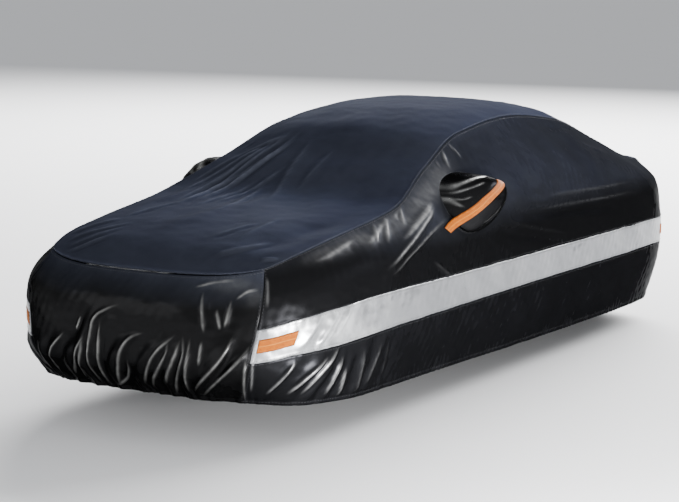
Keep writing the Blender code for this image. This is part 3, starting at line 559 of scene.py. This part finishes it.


# "edge" is how much of the gloss stays at a glancing angle, "crest" the colour of the highlight painted on
# fold crests and sheens; where there is a "low", the cloth turns to it between the two heights of "fade",
# with painted light: a lighter navy above, where sky light falls on the upper wall, and darker below
plainFabric = {"edge": 0.35, "specular": 0.0, "spread": 0.1, "weave": 0.012}
fabrics = {
    "topCloth": {"colour": (0.027, 0.03, 0.042), "wearAndPaintedShine": (0.039, 0.043, 0.058), "crest": (0.115, 0.125, 0.16),
                 "metallic": 0.3, "roughness": 0.5, "crumple": 0.22, "weave": 0.1},
    "wallCloth": {"colour": (0.012, 0.0122, 0.0135), "wearAndPaintedShine": (0.017, 0.0172, 0.019),
                  "crest": (0.32, 0.32, 0.32), "metallic": 0.75, "roughness": 0.32, "crumple": 0.11},
    "flankCloth": {"colour": (0.0148, 0.0157, 0.0195), "wearAndPaintedShine": (0.021, 0.0222, 0.026),
                   "crest": (0.24, 0.24, 0.24), "metallic": 0.35, "roughness": 0.4, "crumple": 0.13,
                   "low": (0.0095, 0.0096, 0.0104), "lowMetallic": 0.65, "fade": (0.68, 0.8)},
    "noseCloth": {"colour": (0.027, 0.03, 0.041), "wearAndPaintedShine": (0.039, 0.043, 0.057), "crest": (0.34, 0.34, 0.33),
                  "metallic": 0.3, "roughness": 0.3, "spread": 0.08, "crumple": 0.12, "weave": 0.03,
                  "low": (0.013, 0.013, 0.0135), "lowMetallic": 0.85, "fade": (0.54, 0.68)},
    "pocketCloth": {"colour": (0.017, 0.017, 0.018), "wearAndPaintedShine": (0.026, 0.026, 0.027),
                    "crest": (0.42, 0.42, 0.41), "metallic": 0.9, "roughness": 0.26, "spread": 0.08,
                    "crumple": 0.12, "weave": 0.03},
    "bandCloth": {"colour": (0.175, 0.18, 0.19), "wearAndPaintedShine": (0.27, 0.275, 0.285), "crest": (0.85, 0.86, 0.87),
                  "metallic": 0.7, "edge": 0.8, "specular": 0.2, "roughness": 0.3, "crumple": 0.24,
                  "weave": 0.02},
}


def clothMaterial(name):
    look = {**plainFabric, **fabrics[name]}
    edge = look["edge"]
    material, tree, shader, spot = newMaterial(name)
    u, v = clothPlace(tree)
    broad, patches = noiseAt(tree, spot, 1.7, 3.0, 0.55), noiseAt(tree, spot, 9.0, 4.0, 0.6)
    fine = noiseAt(tree, spot, 70.0, 3.0, 0.6)
    shade = (broad * 0.55 + patches * 0.45 - 0.32) * 1.9
    colour, metallic = mixColour(tree, shade.clipped(), look["colour"], look["wearAndPaintedShine"]), look["metallic"]
    # painted light: the upper wall is painted a lighter navy for the sky light falling on it, darker toward
    # the hem
    if "low" in look:
        lowest, highest = look["fade"]
        raised = ((v + (broad - 0.5) * 0.12 - lowest) * (1 / (highest - lowest))).clipped()
        colour = mixColour(tree, raised, look["low"], colour)
        metallic = raised * (look["metallic"] - look["lowMetallic"]) + look["lowMetallic"]
    # the highlight painted on fold crests and the painted sheens, broken into flecks, turn the colour toward
    # "crest"
    crest = addNode(tree, "ShaderNodeAttribute", {"attribute_name": "paintedCrestShine"}, {}, 2)
    flecks = ((noiseAt(tree, spot, 24.0, 2.0) - 0.38) * 4.0).clipped()
    colour = mixColour(tree, (crest * (flecks * 0.35 + 0.62)).clipped(), colour, look["crest"])
    thread = 2 * math.pi / 0.0016  # one thread every 1.6 mm
    weave = (u * thread).wave() * (v * thread).wave()
    crumple = noiseAt(tree, spot, 5.5, 3.0, distortion=0.6)
    height = crumple * look["crumple"] + fine * 0.012 + weave * (look["weave"] * 0.02)
    rough = (patches - 0.5) * look["spread"] + (fine - 0.5) * 0.06 + look["roughness"]
    fillSockets(tree, shader, {
        "Base Color": colour, "Roughness": rough.clipped(), "Metallic": metallic,
        "Normal": bumpNode(tree, 0.5, 0.03, height), "Specular IOR Level": look["specular"],
        "Specular Tint": (edge, edge, edge, 1.0)})
    return material


tape = {"orange": (0.46, 0.122, 0.003), "shadow": (0.27, 0.058, 0.002), "pale": (0.58, 0.25, 0.04),
        "edge": (0.14, 0.032, 0.004), "lineHalf": 0.05, "borderFrom": 0.4, "ribsPerMetre": 420.0,
        "thickness": 0.0014}


def tapeMaterial():
    # orange webbing with a paler reflective line along its middle; the UV runs 0 to 1 across it
    material, tree, shader, spot = newMaterial("orangeTape")
    along, across = clothPlace(tree)
    grain = noiseAt(tree, spot, 60.0, 3.0)
    fromMiddle = (across - 0.5).absolute()
    line = ((tape["lineHalf"] - fromMiddle) * 22.0).clipped()
    border = ((fromMiddle - tape["borderFrom"]) * 12.0).clipped()
    ribs = (along * (2 * math.pi * tape["ribsPerMetre"])).wave()
    base = mixColour(tree, (grain * 1.4 - 0.3).clipped(), tape["shadow"], tape["orange"])
    edged = mixColour(tree, border * 0.75, base, tape["edge"])
    fillSockets(tree, shader, {
        "Base Color": mixColour(tree, line * 0.55, edged, tape["pale"]),
        "Roughness": 0.6 - line * 0.16 + grain * 0.1, "Specular IOR Level": 0.15,
        "Normal": bumpNode(tree, 0.4, 0.001, ribs * 0.3 + line * 0.6 + grain * 0.5)})
    return material


def threadMaterial(name, colour):
    material, tree, shader, spot = newMaterial(name)
    fuzz = noiseAt(tree, spot, 400.0, 2.0)
    shade = mixColour(tree, fuzz, [value * 0.6 for value in colour], colour)
    fillSockets(tree, shader, {"Base Color": shade, "Roughness": fuzz * 0.2 + 0.5})
    return material


materials = {name: clothMaterial(name) for name in fabrics}
materials["orangeTape"] = tapeMaterial()
materials["darkThread"] = threadMaterial("darkThread", (0.045, 0.045, 0.052))
materials["orangeThread"] = threadMaterial("orangeThread", (0.75, 0.3, 0.08))
print("materials made:", len(materials))


def placed(name, data):
    made = bpy.data.objects.new(name, data)
    bpy.context.scene.collection.objects.link(made)
    return made


def sheetObject(name, points, marks, material, side=1, closed=False, kept=None, thickness=body["cloth"]):
    # marks hold the cloth's two UV values and the highlight painted on its fold crests and sheens
    columns, rows = points.shape[:2]
    index = np.arange(columns * rows).reshape(columns, rows)
    a, b, c, d = index[:-1, :-1], index[1:, :-1], index[1:, 1:], index[:-1, 1:]
    quads = np.stack([a, b, c, d] if side > 0 else [a, d, c, b], -1).reshape(-1, 4)
    if kept is not None:
        quads = quads[kept.reshape(-1)]
    mesh = bpy.data.meshes.new(name)
    mesh.from_pydata((points.reshape(-1, 3) * [side, 1, 1]).tolist(), [], quads.tolist())
    corners = np.empty(len(mesh.loops), np.int32)
    mesh.loops.foreach_get("vertex_index", corners)
    flat = marks[..., :2].reshape(-1, 2)[corners].astype(np.float32)
    mesh.uv_layers.new(name="clothMetres").data.foreach_set("uv", flat.ravel())
    # the highlight painted on crests and sheens, kept on the points for the base colour
    wearAndPaintedShine = np.clip(marks[..., 2], 0, 1).astype(np.float32)
    mesh.attributes.new("paintedCrestShine", "FLOAT", "POINT").data.foreach_set("value", wearAndPaintedShine.ravel())
    made = bmesh.new()
    made.from_mesh(mesh)
    if closed:
        bmesh.ops.remove_doubles(made, verts=made.verts, dist=0.00002)
    bmesh.ops.delete(made, geom=[vertex for vertex in made.verts if not vertex.link_faces], context="VERTS")
    made.to_mesh(mesh)
    made.free()
    mesh.materials.append(material)
    mesh.polygons.foreach_set("use_smooth", [True] * len(mesh.polygons))
    sheet = placed(name, mesh)
    solidify = sheet.modifiers.new("clothThickness", "SOLIDIFY")
    solidify.thickness, solidify.offset = thickness, -1.0
    return asPlainMesh(sheet)


def asPlainMesh(made):
    graph = bpy.context.evaluated_depsgraph_get()
    graph.update()
    mesh = bpy.data.meshes.new_from_object(made.evaluated_get(graph))
    made.modifiers.clear()
    made.data = mesh
    mesh.name = made.name
    return made


def turnedIn(points, normals, marks, depth=0.007):
    # a narrow allowance folded inwards along each edge, which closes the seams
    for _ in ("ends", "sides"):
        first, last = points[:1] - normals[:1] * depth, points[-1:] - normals[-1:] * depth
        points = np.concatenate([first, points, last])
        normals, marks = [np.concatenate([grid[:1], grid, grid[-1:]]) for grid in (normals, marks)]
        points, normals, marks = [np.swapaxes(grid, 0, 1) for grid in (points, normals, marks)]
    return points, marks


def finishSheet(piece, node):
    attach(piece, "root")
    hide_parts(node)


stitchPaths = {"dark": [], "orange": []}


def keepPaths(outer, normals, lines, lift, side=1, colour="dark"):
    # lines of a grid that are stitched later
    raised = outer + normals * lift
    stitchPaths[colour] += [raised[line] * [side, 1, 1] for line in lines]


def stationsAlong(cells, zone=1.35):
    # columns of a flank, closer together over the folds behind the front corner
    length = tailCorner - body["frontCorner"]
    edge = np.array(edgeSteps)
    near = np.linspace(edge[-1], zone, int(cells * 0.42) + 1)
    far = np.linspace(zone, length - edge[-1], int(cells * 0.58) + 1)[1:]
    return body["frontCorner"] + np.concatenate([edge[:-1], near, far, (length - edge[:-1])[::-1]])


wallPanels = {
    "lower": {"low": "hemZ", "high": "bandLow", "rows": 44, "rowLength": 0.31, "columns": 520,
              "cloth": "wallCloth", "slot": "wall_cloth", "flat": (0.33, 5.0), "area": 1.62},
    "band": {"low": "bandLow", "high": "bandHigh", "rows": 20, "rowLength": 0.16, "columns": 520,
             "cloth": "bandCloth", "slot": "silver_band", "flat": (0.17, 5.0), "area": 0.82},
    "upper": {"low": "bandHigh", "high": "seamZ", "rows": 65, "rowLength": 0.6, "columns": 500,
              "cloth": "flankCloth", "slot": "wall_cloth", "flat": (0.9, 4.9), "area": 2.6},
}
seamLines = [np.s_[:, -4], np.s_[:, 3], 3, -4]  # the stitched rows and columns of a panel


def pocketShares(y, z):
    # a place of the flank as shares of the pocket's rim
    turn, dy, dz = pocket["tilt"], y - pocket["y"], z - pocket["z"]
    return ((dy * math.cos(turn) + dz * math.sin(turn)) / pocket["halfLong"],
            (dz * math.cos(turn) - dy * math.sin(turn)) / pocket["halfHigh"])


def makeFlank(kind, side):
    panel, detail, (sideName, nodeEnd) = wallPanels[kind], flankLook[side]["detail"], sideNames[side]
    topS = stationsAlong(panel["columns"] * detail)
    shares = edgedShares(panel["rowLength"], int(panel["rows"] * detail))
    if kind == "lower":  # finer rows over the hem's gathers
        shares = np.concatenate([np.linspace(0, 0.08, 5), shares[shares > 0.085]])
    s, z, relief, shine = wallGrid(topS, panel["low"], panel["high"], shares, side)
    if kind == "band":
        # a broad highlight painted on the band behind the front corner
        glow = bandSheen["gloss"] * np.exp(-((s - bandSheen["middle"]) / bandSheen["half"]) ** 2)
        shine = shine + glow * (0.7 + 0.3 * softNoise(s, z * 0.4, 0.1, 81))
    relief += seamRelief(topS - body["frontCorner"])[:, None] + seamRelief(tailCorner - topS)[:, None]
    outer, normals = wallSurface(s, z, relief, body["skin"])
    points, marks = turnedIn(outer, normals, np.stack([s * side, z, shine], -1))
    kept = None
    if kind == "upper":  # the hole behind the mirror pocket
        far = np.hypot(*pocketShares(points[..., 1], points[..., 2]))
        kept = (far[:-1, :-1] + far[1:, :-1] + far[1:, 1:] + far[:-1, 1:]) / 4 > 0.9
    name = "side" + kind.capitalize() + "Cloth" + sideName
    piece = sheetObject(name, points, marks, materials[panel["cloth"]], side, kept=kept)
    finishSheet(piece, "side_" + kind + nodeEnd)
    keepPaths(outer, normals, seamLines, 0.0006, side)


for side in sideNames:
    for kind in wallPanels:
        makeFlank(kind, side)
print("flanks made")

endPanels = {
    "front": {"corner": body["frontCorner"], "middle": 0.0, "columns": 330, "detail": 1.0,
              "cloth": "noseCloth", "slot": "wall_cloth", "flat": (1.75, 0.64), "area": 1.01},
    "rear": {"corner": body["rearCorner"], "middle": halfRound, "columns": 135, "detail": 0.5,
             "cloth": "wallCloth", "slot": "wall_cloth", "flat": (1.6, 0.92), "area": 1.36},
}
endRows = [("hemZ", "bandLow", 50), ("bandLow", "bandHigh", 30), ("bandHigh", "seamZ", 45)]


def makeEnd(name):
    panel = endPanels[name]
    corner, middle = panel["corner"], panel["middle"]
    topS = middle + corner * (2 * edgedShares(2 * corner, panel["columns"]) - 1)
    parts = []
    for low, high, rows in endRows:
        shares = np.linspace(0, 1, int(rows * panel["detail"]) + 1)[len(parts) > 0:]
        if high == "seamZ":
            shares = np.concatenate([shares[shares < 0.93], 1 - np.array(edgeSteps)[::-1] / 0.25])
        parts.append(leanedPlaces(topS, low, high, shares))
    s, z = [np.concatenate(grids, 1) for grids in zip(*parts)]
    relief, shine = wallRelief(s, z, 1)
    gap = edgeHeight("seamZ", s) - z
    relief += seamRelief(gap) + seamPucker(s, gap, 41)
    relief += seamRelief(corner - np.abs(topS - middle)[:, None])
    outer, normals = wallSurface(s, z, relief, body["skin"])
    points, marks = turnedIn(outer, normals, np.stack([s, z, shine], -1))
    piece = sheetObject(name + "PanelCloth", points, marks, materials[panel["cloth"]])
    finishSheet(piece, name + "_panel")
    keepPaths(outer, normals, [3, -4], 0.0)
    keepPaths(outer, normals, [np.s_[:, -4]], 0.0006)


for name in endPanels:
    makeEnd(name)
print("front and rear made")

topPanel = {"columns": 262, "across": 105, "width": 1.45, "slot": "top_cloth", "flat": (1.64, 4.78),
            "area": 6.07}


def makeTop():
    length = tailCorner - body["frontCorner"]
    along = edgedShares(length, topPanel["columns"])
    across = 2 * edgedShares(topPanel["width"], topPanel["across"]) - 1
    # a patch between the four seams, raised to the line over the crown
    seam = lambda s: wallLevels(np.atleast_1d(s))[:, -1]
    left = seam(body["frontCorner"] + along * length)
    right = left * [-1, 1, 1]
    front, rear = seam(body["frontCorner"] * across), seam(halfRound - body["rearCorner"] * across)
    q, t = along[None, :, None], ((across + 1) / 2)[:, None, None]
    ends = (1 - q) * front[:, None] + q * rear[:, None]
    sides = (1 - t) * right[None] + t * left[None]
    corners = (1 - q) * ((1 - t) * right[0] + t * left[0]) + q * ((1 - t) * right[-1] + t * left[-1])
    points = ends + sides - corners
    middle = [np.array([np.interp(0, across, row) for row in points[..., axis].T]) for axis in (1, 2)]
    rise = tableAt(ridgeLine, 1, middle[0]) - middle[1]
    points[..., 2] += (1 - np.abs(across)[:, None] ** tableAt(ridgeLine, 2, middle[0])) * rise
    x, y = points[..., 0].copy(), points[..., 1].copy()
    inward = (1 - np.abs(across))[:, None]
    endCalm = smoothStep(along / 0.04) * smoothStep((1 - along) / 0.04)
    calm, fineCalm = smoothStep(inward / 0.12) * endCalm, smoothStep(inward / 0.05) * endCalm
    relief = calm * 1.2 * foldRelief(x, y, topFolds, True)
    fine, shine = creaseRelief(x, y, topCreases, 0.008)
    relief += fineCalm * (fine + 0.0022 * softNoise(x, y, 0.34, 51) + 0.0006 * softNoise(x, y, 0.09, 52))
    for gap in (inward * 0.65 + 0 * y, np.minimum(along, 1 - along) * length + 0 * y):
        relief += seamRelief(gap) + seamPucker(y + x, gap, 53)
    points[..., 2] += relief
    outer, normals = lifted(points, body["skin"])
    rim, marks = turnedIn(outer, normals, np.stack([x, y, shine * fineCalm], -1))
    piece = sheetObject("topPanelCloth", rim, marks, materials["topCloth"])
    finishSheet(piece, "top_panel")
    keepPaths(outer, normals, [3, -4, np.s_[:, 3], np.s_[:, -4]], 0.0)


makeTop()
print("top panel made")


def pocketSurface(p, q, side):
    # places of the pocket, and past its rim places of the flank
    out, angle = np.hypot(p, q), np.arctan2(q, p)
    turn, fullness = pocket["tilt"], pocket["fullness"]
    along, up = pocket["halfLong"] * np.cos(angle), pocket["halfHigh"] * np.sin(angle)
    rimY = along * math.cos(turn) - up * math.sin(turn)
    rimZ = along * math.sin(turn) + up * math.cos(turn)
    past = np.maximum(out, 1.0)
    flankS = np.interp(pocket["y"] + rimY * past, beltY, beltAlong)
    flankX = wallPlace(flankS, pocket["z"] + rimZ * past)[..., 0]
    fine, shine = creaseRelief(p, q, pocketCreases, 0.02)
    relief = foldRelief(p, q, pocketFolds, True) + fine + 0.0012 * softNoise(p, q, 0.5, 61 + side)
    stand = (1 - np.minimum(out, 1.0) ** fullness) ** (1 / fullness)
    x = flankX + (pocket["tipX"] - flankX + relief) * stand
    y = pocket["y"] + rimY * out + pocket["back"] * stand ** 3
    z = pocket["z"] + rimZ * out + pocket["up"] * stand ** 3
    return np.stack([x, y, z], -1), shine


def makePocket(side):
    (sideName, nodeEnd), detail = sideNames[side], flankLook[side]["detail"]
    angle = np.linspace(0, 2 * np.pi, int(pocket["spokes"] * detail) + 1)[:, None]
    turn = np.linspace(0, 0.5 * np.pi, int(pocket["rings"] * detail))
    out = np.concatenate([[1.045, 1.02], np.cos(turn[:-1]), [0.0]])  # a narrow brim lies on the flank
    p, q = out * np.cos(angle), out * np.sin(angle)
    points, shine = pocketSurface(p, q, side)
    points[:, :2, 0] += pocket["brimLift"]
    points[-1] = points[0]
    marks = np.stack([p * pocket["halfLong"], q * pocket["halfHigh"], shine], -1)
    piece = sheetObject("mirrorPocketCloth" + sideName, points, marks, materials["pocketCloth"], side, True)
    finishSheet(piece, "mirror_pocket" + nodeEnd)
    keepPaths(points, np.array([1.0, 0, 0]), [np.s_[:, 1]], 0.0008, side)


def makeStrip(side):
    (sideName, nodeEnd), turn = sideNames[side], pocketStrip["turn"]
    along = np.linspace(pocketStrip["from"], pocketStrip["to"], pocketStrip["cells"] + 1)[:, None]
    share = np.linspace(0, 1, 7)[None, :]
    aside = pocketStrip["low"] + (pocketStrip["high"] - pocketStrip["low"]) * share
    aside = aside - pocketStrip["bend"] * smoothStep((along - pocketStrip["bendFrom"]) / 0.95)
    p, q = along * math.cos(turn) - aside * math.sin(turn), along * math.sin(turn) + aside * math.cos(turn)
    points = pocketSurface(p, q, side)[0]
    x, last = points[..., 0], pocketStrip["tautCells"]
    for _ in range(pocketStrip["tautRounds"]):
        x[1:last + 1] = np.maximum(x[1:last + 1], (x[:last] + x[2:last + 2]) / 2)
    outer, normals = lifted(points, pocketStrip["skin"])
    outer[:, (0, -1)] -= normals[:, (0, -1)] * pocketStrip["edgeDrop"]
    steps = np.linalg.norm(np.diff(outer[:, 3], axis=0), axis=1)
    length = np.concatenate([[0], np.cumsum(steps)])[:, None]
    marks = np.stack([length + 0 * share, share + 0 * length, 0 * along * share], -1)
    piece = sheetObject("pocketStripTape" + sideName, outer, marks, materials["orangeTape"], side,
                        thickness=tape["thickness"])
    finishSheet(piece, "pocket_strip" + nodeEnd)
    keepPaths(outer, normals, [np.s_[:, 1], np.s_[:, -2]], 0.0006, side, "orange")


# orange tags on the ends of the band, as distances from the corner seams
tags = {"inset": 0.02, "front": 0.24, "rear": 0.28, "low": 0.3, "high": 0.7, "columns": 70, "rows": 9,
        "skin": 0.0032, "edgeDrop": 0.0018, "flat": {"front": (0.063, 0.2), "rear": (0.065, 0.28)}}


def makeTag(place, side):
    (sideName, nodeEnd), length = sideNames[side], tags[place]
    start = body["frontCorner"] + tags["inset"] if place == "front" else tailCorner - tags["inset"] - length
    topS = start + np.linspace(0, length, tags["columns"])
    shares = np.linspace(tags["low"], tags["high"], tags["rows"])
    s, z, relief, shine = wallGrid(topS, "bandLow", "bandHigh", shares, side)
    outer, normals = wallSurface(s, z, relief, body["skin"] + tags["skin"])
    for edge in (np.s_[(0, -1), :], np.s_[:, (0, -1)]):  # the sewn edges lie closer to the band
        outer[edge] -= normals[edge] * tags["edgeDrop"]
    share = np.linspace(0, 1, tags["rows"])[None, :]
    marks = np.stack([(topS - topS[0])[:, None] + 0 * share, share + 0 * topS[:, None], 0 * shine], -1)
    name = "bandTagTape" + place.capitalize() + sideName
    piece = sheetObject(name, outer, marks, materials["orangeTape"], side, thickness=tape["thickness"])
    finishSheet(piece, "band_tag_" + place + nodeEnd)
    keepPaths(outer, normals, [np.s_[:, 1], np.s_[:, -2], 1, -2], 0.0004, side, "orange")


for side in sideNames:
    makePocket(side)
    makeStrip(side)
    for place in ("front", "rear"):
        makeTag(place, side)
print("pockets, strips and tags made")


# stitches, repeated along the seams by Geometry Nodes
stitching = {
    "dark": {"piece": "seamStitches", "slot": "wall_cloth", "Pitch": 0.016, "Stitch Length": 0.0115,
             "Stitch Width": 0.0016},
    "orange": {"piece": "tapeStitches", "slot": "orange_tape", "Pitch": 0.006, "Stitch Length": 0.0044,
               "Stitch Width": 0.0012},
}


def stitchTree():
    tree = bpy.data.node_groups.new("stitchRow", "GeometryNodeTree")
    inputs = {"Geometry": "Geometry", "Pitch": "Float", "Stitch Length": "Float", "Stitch Width": "Float",
              "Seed": "Int", "Thread": "Material"}
    for name, kind in inputs.items():
        tree.interface.new_socket(name=name, in_out="INPUT", socket_type="NodeSocket" + kind)
    tree.interface.new_socket(name="Geometry", in_out="OUTPUT", socket_type="NodeSocketGeometry")
    given, result = tree.nodes.new("NodeGroupInput"), tree.nodes.new("NodeGroupOutput")
    path, pitch, length, width, seed, thread = [Flow(tree, socket) for socket in given.outputs[:6]]
    line = addNode(tree, "GeometryNodeMeshToCurve", {}, {0: path})
    spaced = addNode(tree, "GeometryNodeResampleCurve", {"mode": "LENGTH"}, {"Curve": line, "Length": pitch})
    tangent = addNode(tree, "GeometryNodeInputTangent", {}, {})
    turned = addNode(tree, "FunctionNodeAlignRotationToVector", {"axis": "X"}, {"Vector": tangent})
    bead = addNode(tree, "GeometryNodeMeshUVSphere", {}, {"Radius": 0.5, "Segments": 4, "Rings": 3})
    vary = addNode(tree, "FunctionNodeRandomValue", {}, {2: 0.86, 3: 1.08, "Seed": seed}, 1)
    size = addNode(tree, "ShaderNodeCombineXYZ", {}, {0: vary * length, 1: width, 2: width})
    rows = addNode(tree, "GeometryNodeInstanceOnPoints", {},
                   {"Points": spaced, "Instance": bead, "Rotation": turned, "Scale": size})
    solid = addNode(tree, "GeometryNodeRealizeInstances", {}, {0: rows})
    coloured = addNode(tree, "GeometryNodeSetMaterial", {}, {"Geometry": solid, "Material": thread})
    fillSockets(tree, result, {0: coloured})
    return tree


def makeStitches(colour, tree):
    look = stitching[colour]
    points, edges = [], []
    for path in stitchPaths[colour]:
        edges += [(len(points) + i, len(points) + i + 1) for i in range(len(path) - 1)]
        points += path.tolist()
    mesh = bpy.data.meshes.new(look["piece"])
    mesh.from_pydata(points, edges, [])
    rows = placed(look["piece"], mesh)
    modifier = rows.modifiers.new("stitches", "NODES")
    modifier.node_group = tree
    values = {**look, "Seed": 7, "Thread": materials[colour + "Thread"]}
    for item in tree.interface.items_tree:
        if item.in_out == "INPUT" and item.name in values:
            modifier[item.identifier] = values[item.name]
    asPlainMesh(rows)
    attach(rows, "root")
    print("stitches made:", colour, len(rows.data.polygons))


rowTree = stitchTree()
for colour in stitching:
    makeStitches(colour, rowTree)


stageLook = {"groundZ": -0.145, "floorHalf": 60.0, "floorColour": (0.86, 0.86, 0.87),
             "worldColour": (0.95, 0.97, 1.0), "world": 0.6}


def makeFloor():
    mesh = bpy.data.meshes.new("studioFloor")
    half, z = stageLook["floorHalf"], stageLook["groundZ"]
    corners = [(x, y, z) for y in (-half, half) for x in (-half, half)]
    mesh.from_pydata(corners, [], [(0, 1, 3, 2)])
    material, tree, shader, spot = newMaterial("studioFloor")
    colour = stageLook["floorColour"]
    shade = mixColour(tree, noiseAt(tree, spot, 1.5, 2.0), colour, [value * 0.98 for value in colour])
    fillSockets(tree, shader, {"Base Color": shade, "Roughness": 0.75})
    mesh.materials.append(material)
    placed("studioFloor", mesh)


# place, aim, width, height, power
lamps = {
    "backHigh": ((-1.0, 15.0, 9.0), (0, 0, 0.6), 24.0, 6.0, 14000.0),
    "rightSoftbox": ((4.3, -3.3, 0.42), (0.85, -1.9, 0.36), 1.2, 0.7, 420.0),
    "leftSoftbox": ((-3.6, -7.1, 2.2), (0, -2.2, 0.4), 3.0, 3.0, 60.0),
}


def aimed(name, data, place, aim):
    made = placed(name, data)
    made.location = place
    made.rotation_euler = (Vector(aim) - Vector(place)).to_track_quat("-Z", "Y").to_euler()
    return made


def makeLamps():
    for name, (place, aim, width, height, power) in lamps.items():
        light = bpy.data.lights.new(name, "AREA")
        light.shape = "RECTANGLE"
        light.size, light.size_y, light.energy = width, height, power
        aimed(name, light, place, aim)
    world = bpy.context.scene.world or bpy.data.worlds.new("studioWorld")
    bpy.context.scene.world = world
    world.use_nodes = True
    sky = world.node_tree.nodes["Background"]
    sky.inputs["Color"].default_value = (*stageLook["worldColour"], 1.0)
    sky.inputs["Strength"].default_value = stageLook["world"]


cameraPlan = {"place": (6.0802, -10.1996, 2.2873), "aim": (-0.186, -0.123, 0.47), "lens": 112.0,
              "sensor": 36.0}


def makeCamera():
    data = bpy.data.cameras.new("camera")
    data.lens, data.sensor_width, data.clip_end = cameraPlan["lens"], cameraPlan["sensor"], 200.0
    bpy.context.scene.camera = aimed("camera", data, cameraPlan["place"], cameraPlan["aim"])


makeFloor()
makeLamps()
makeCamera()
print("stage made")

bpy.context.view_layer.update()
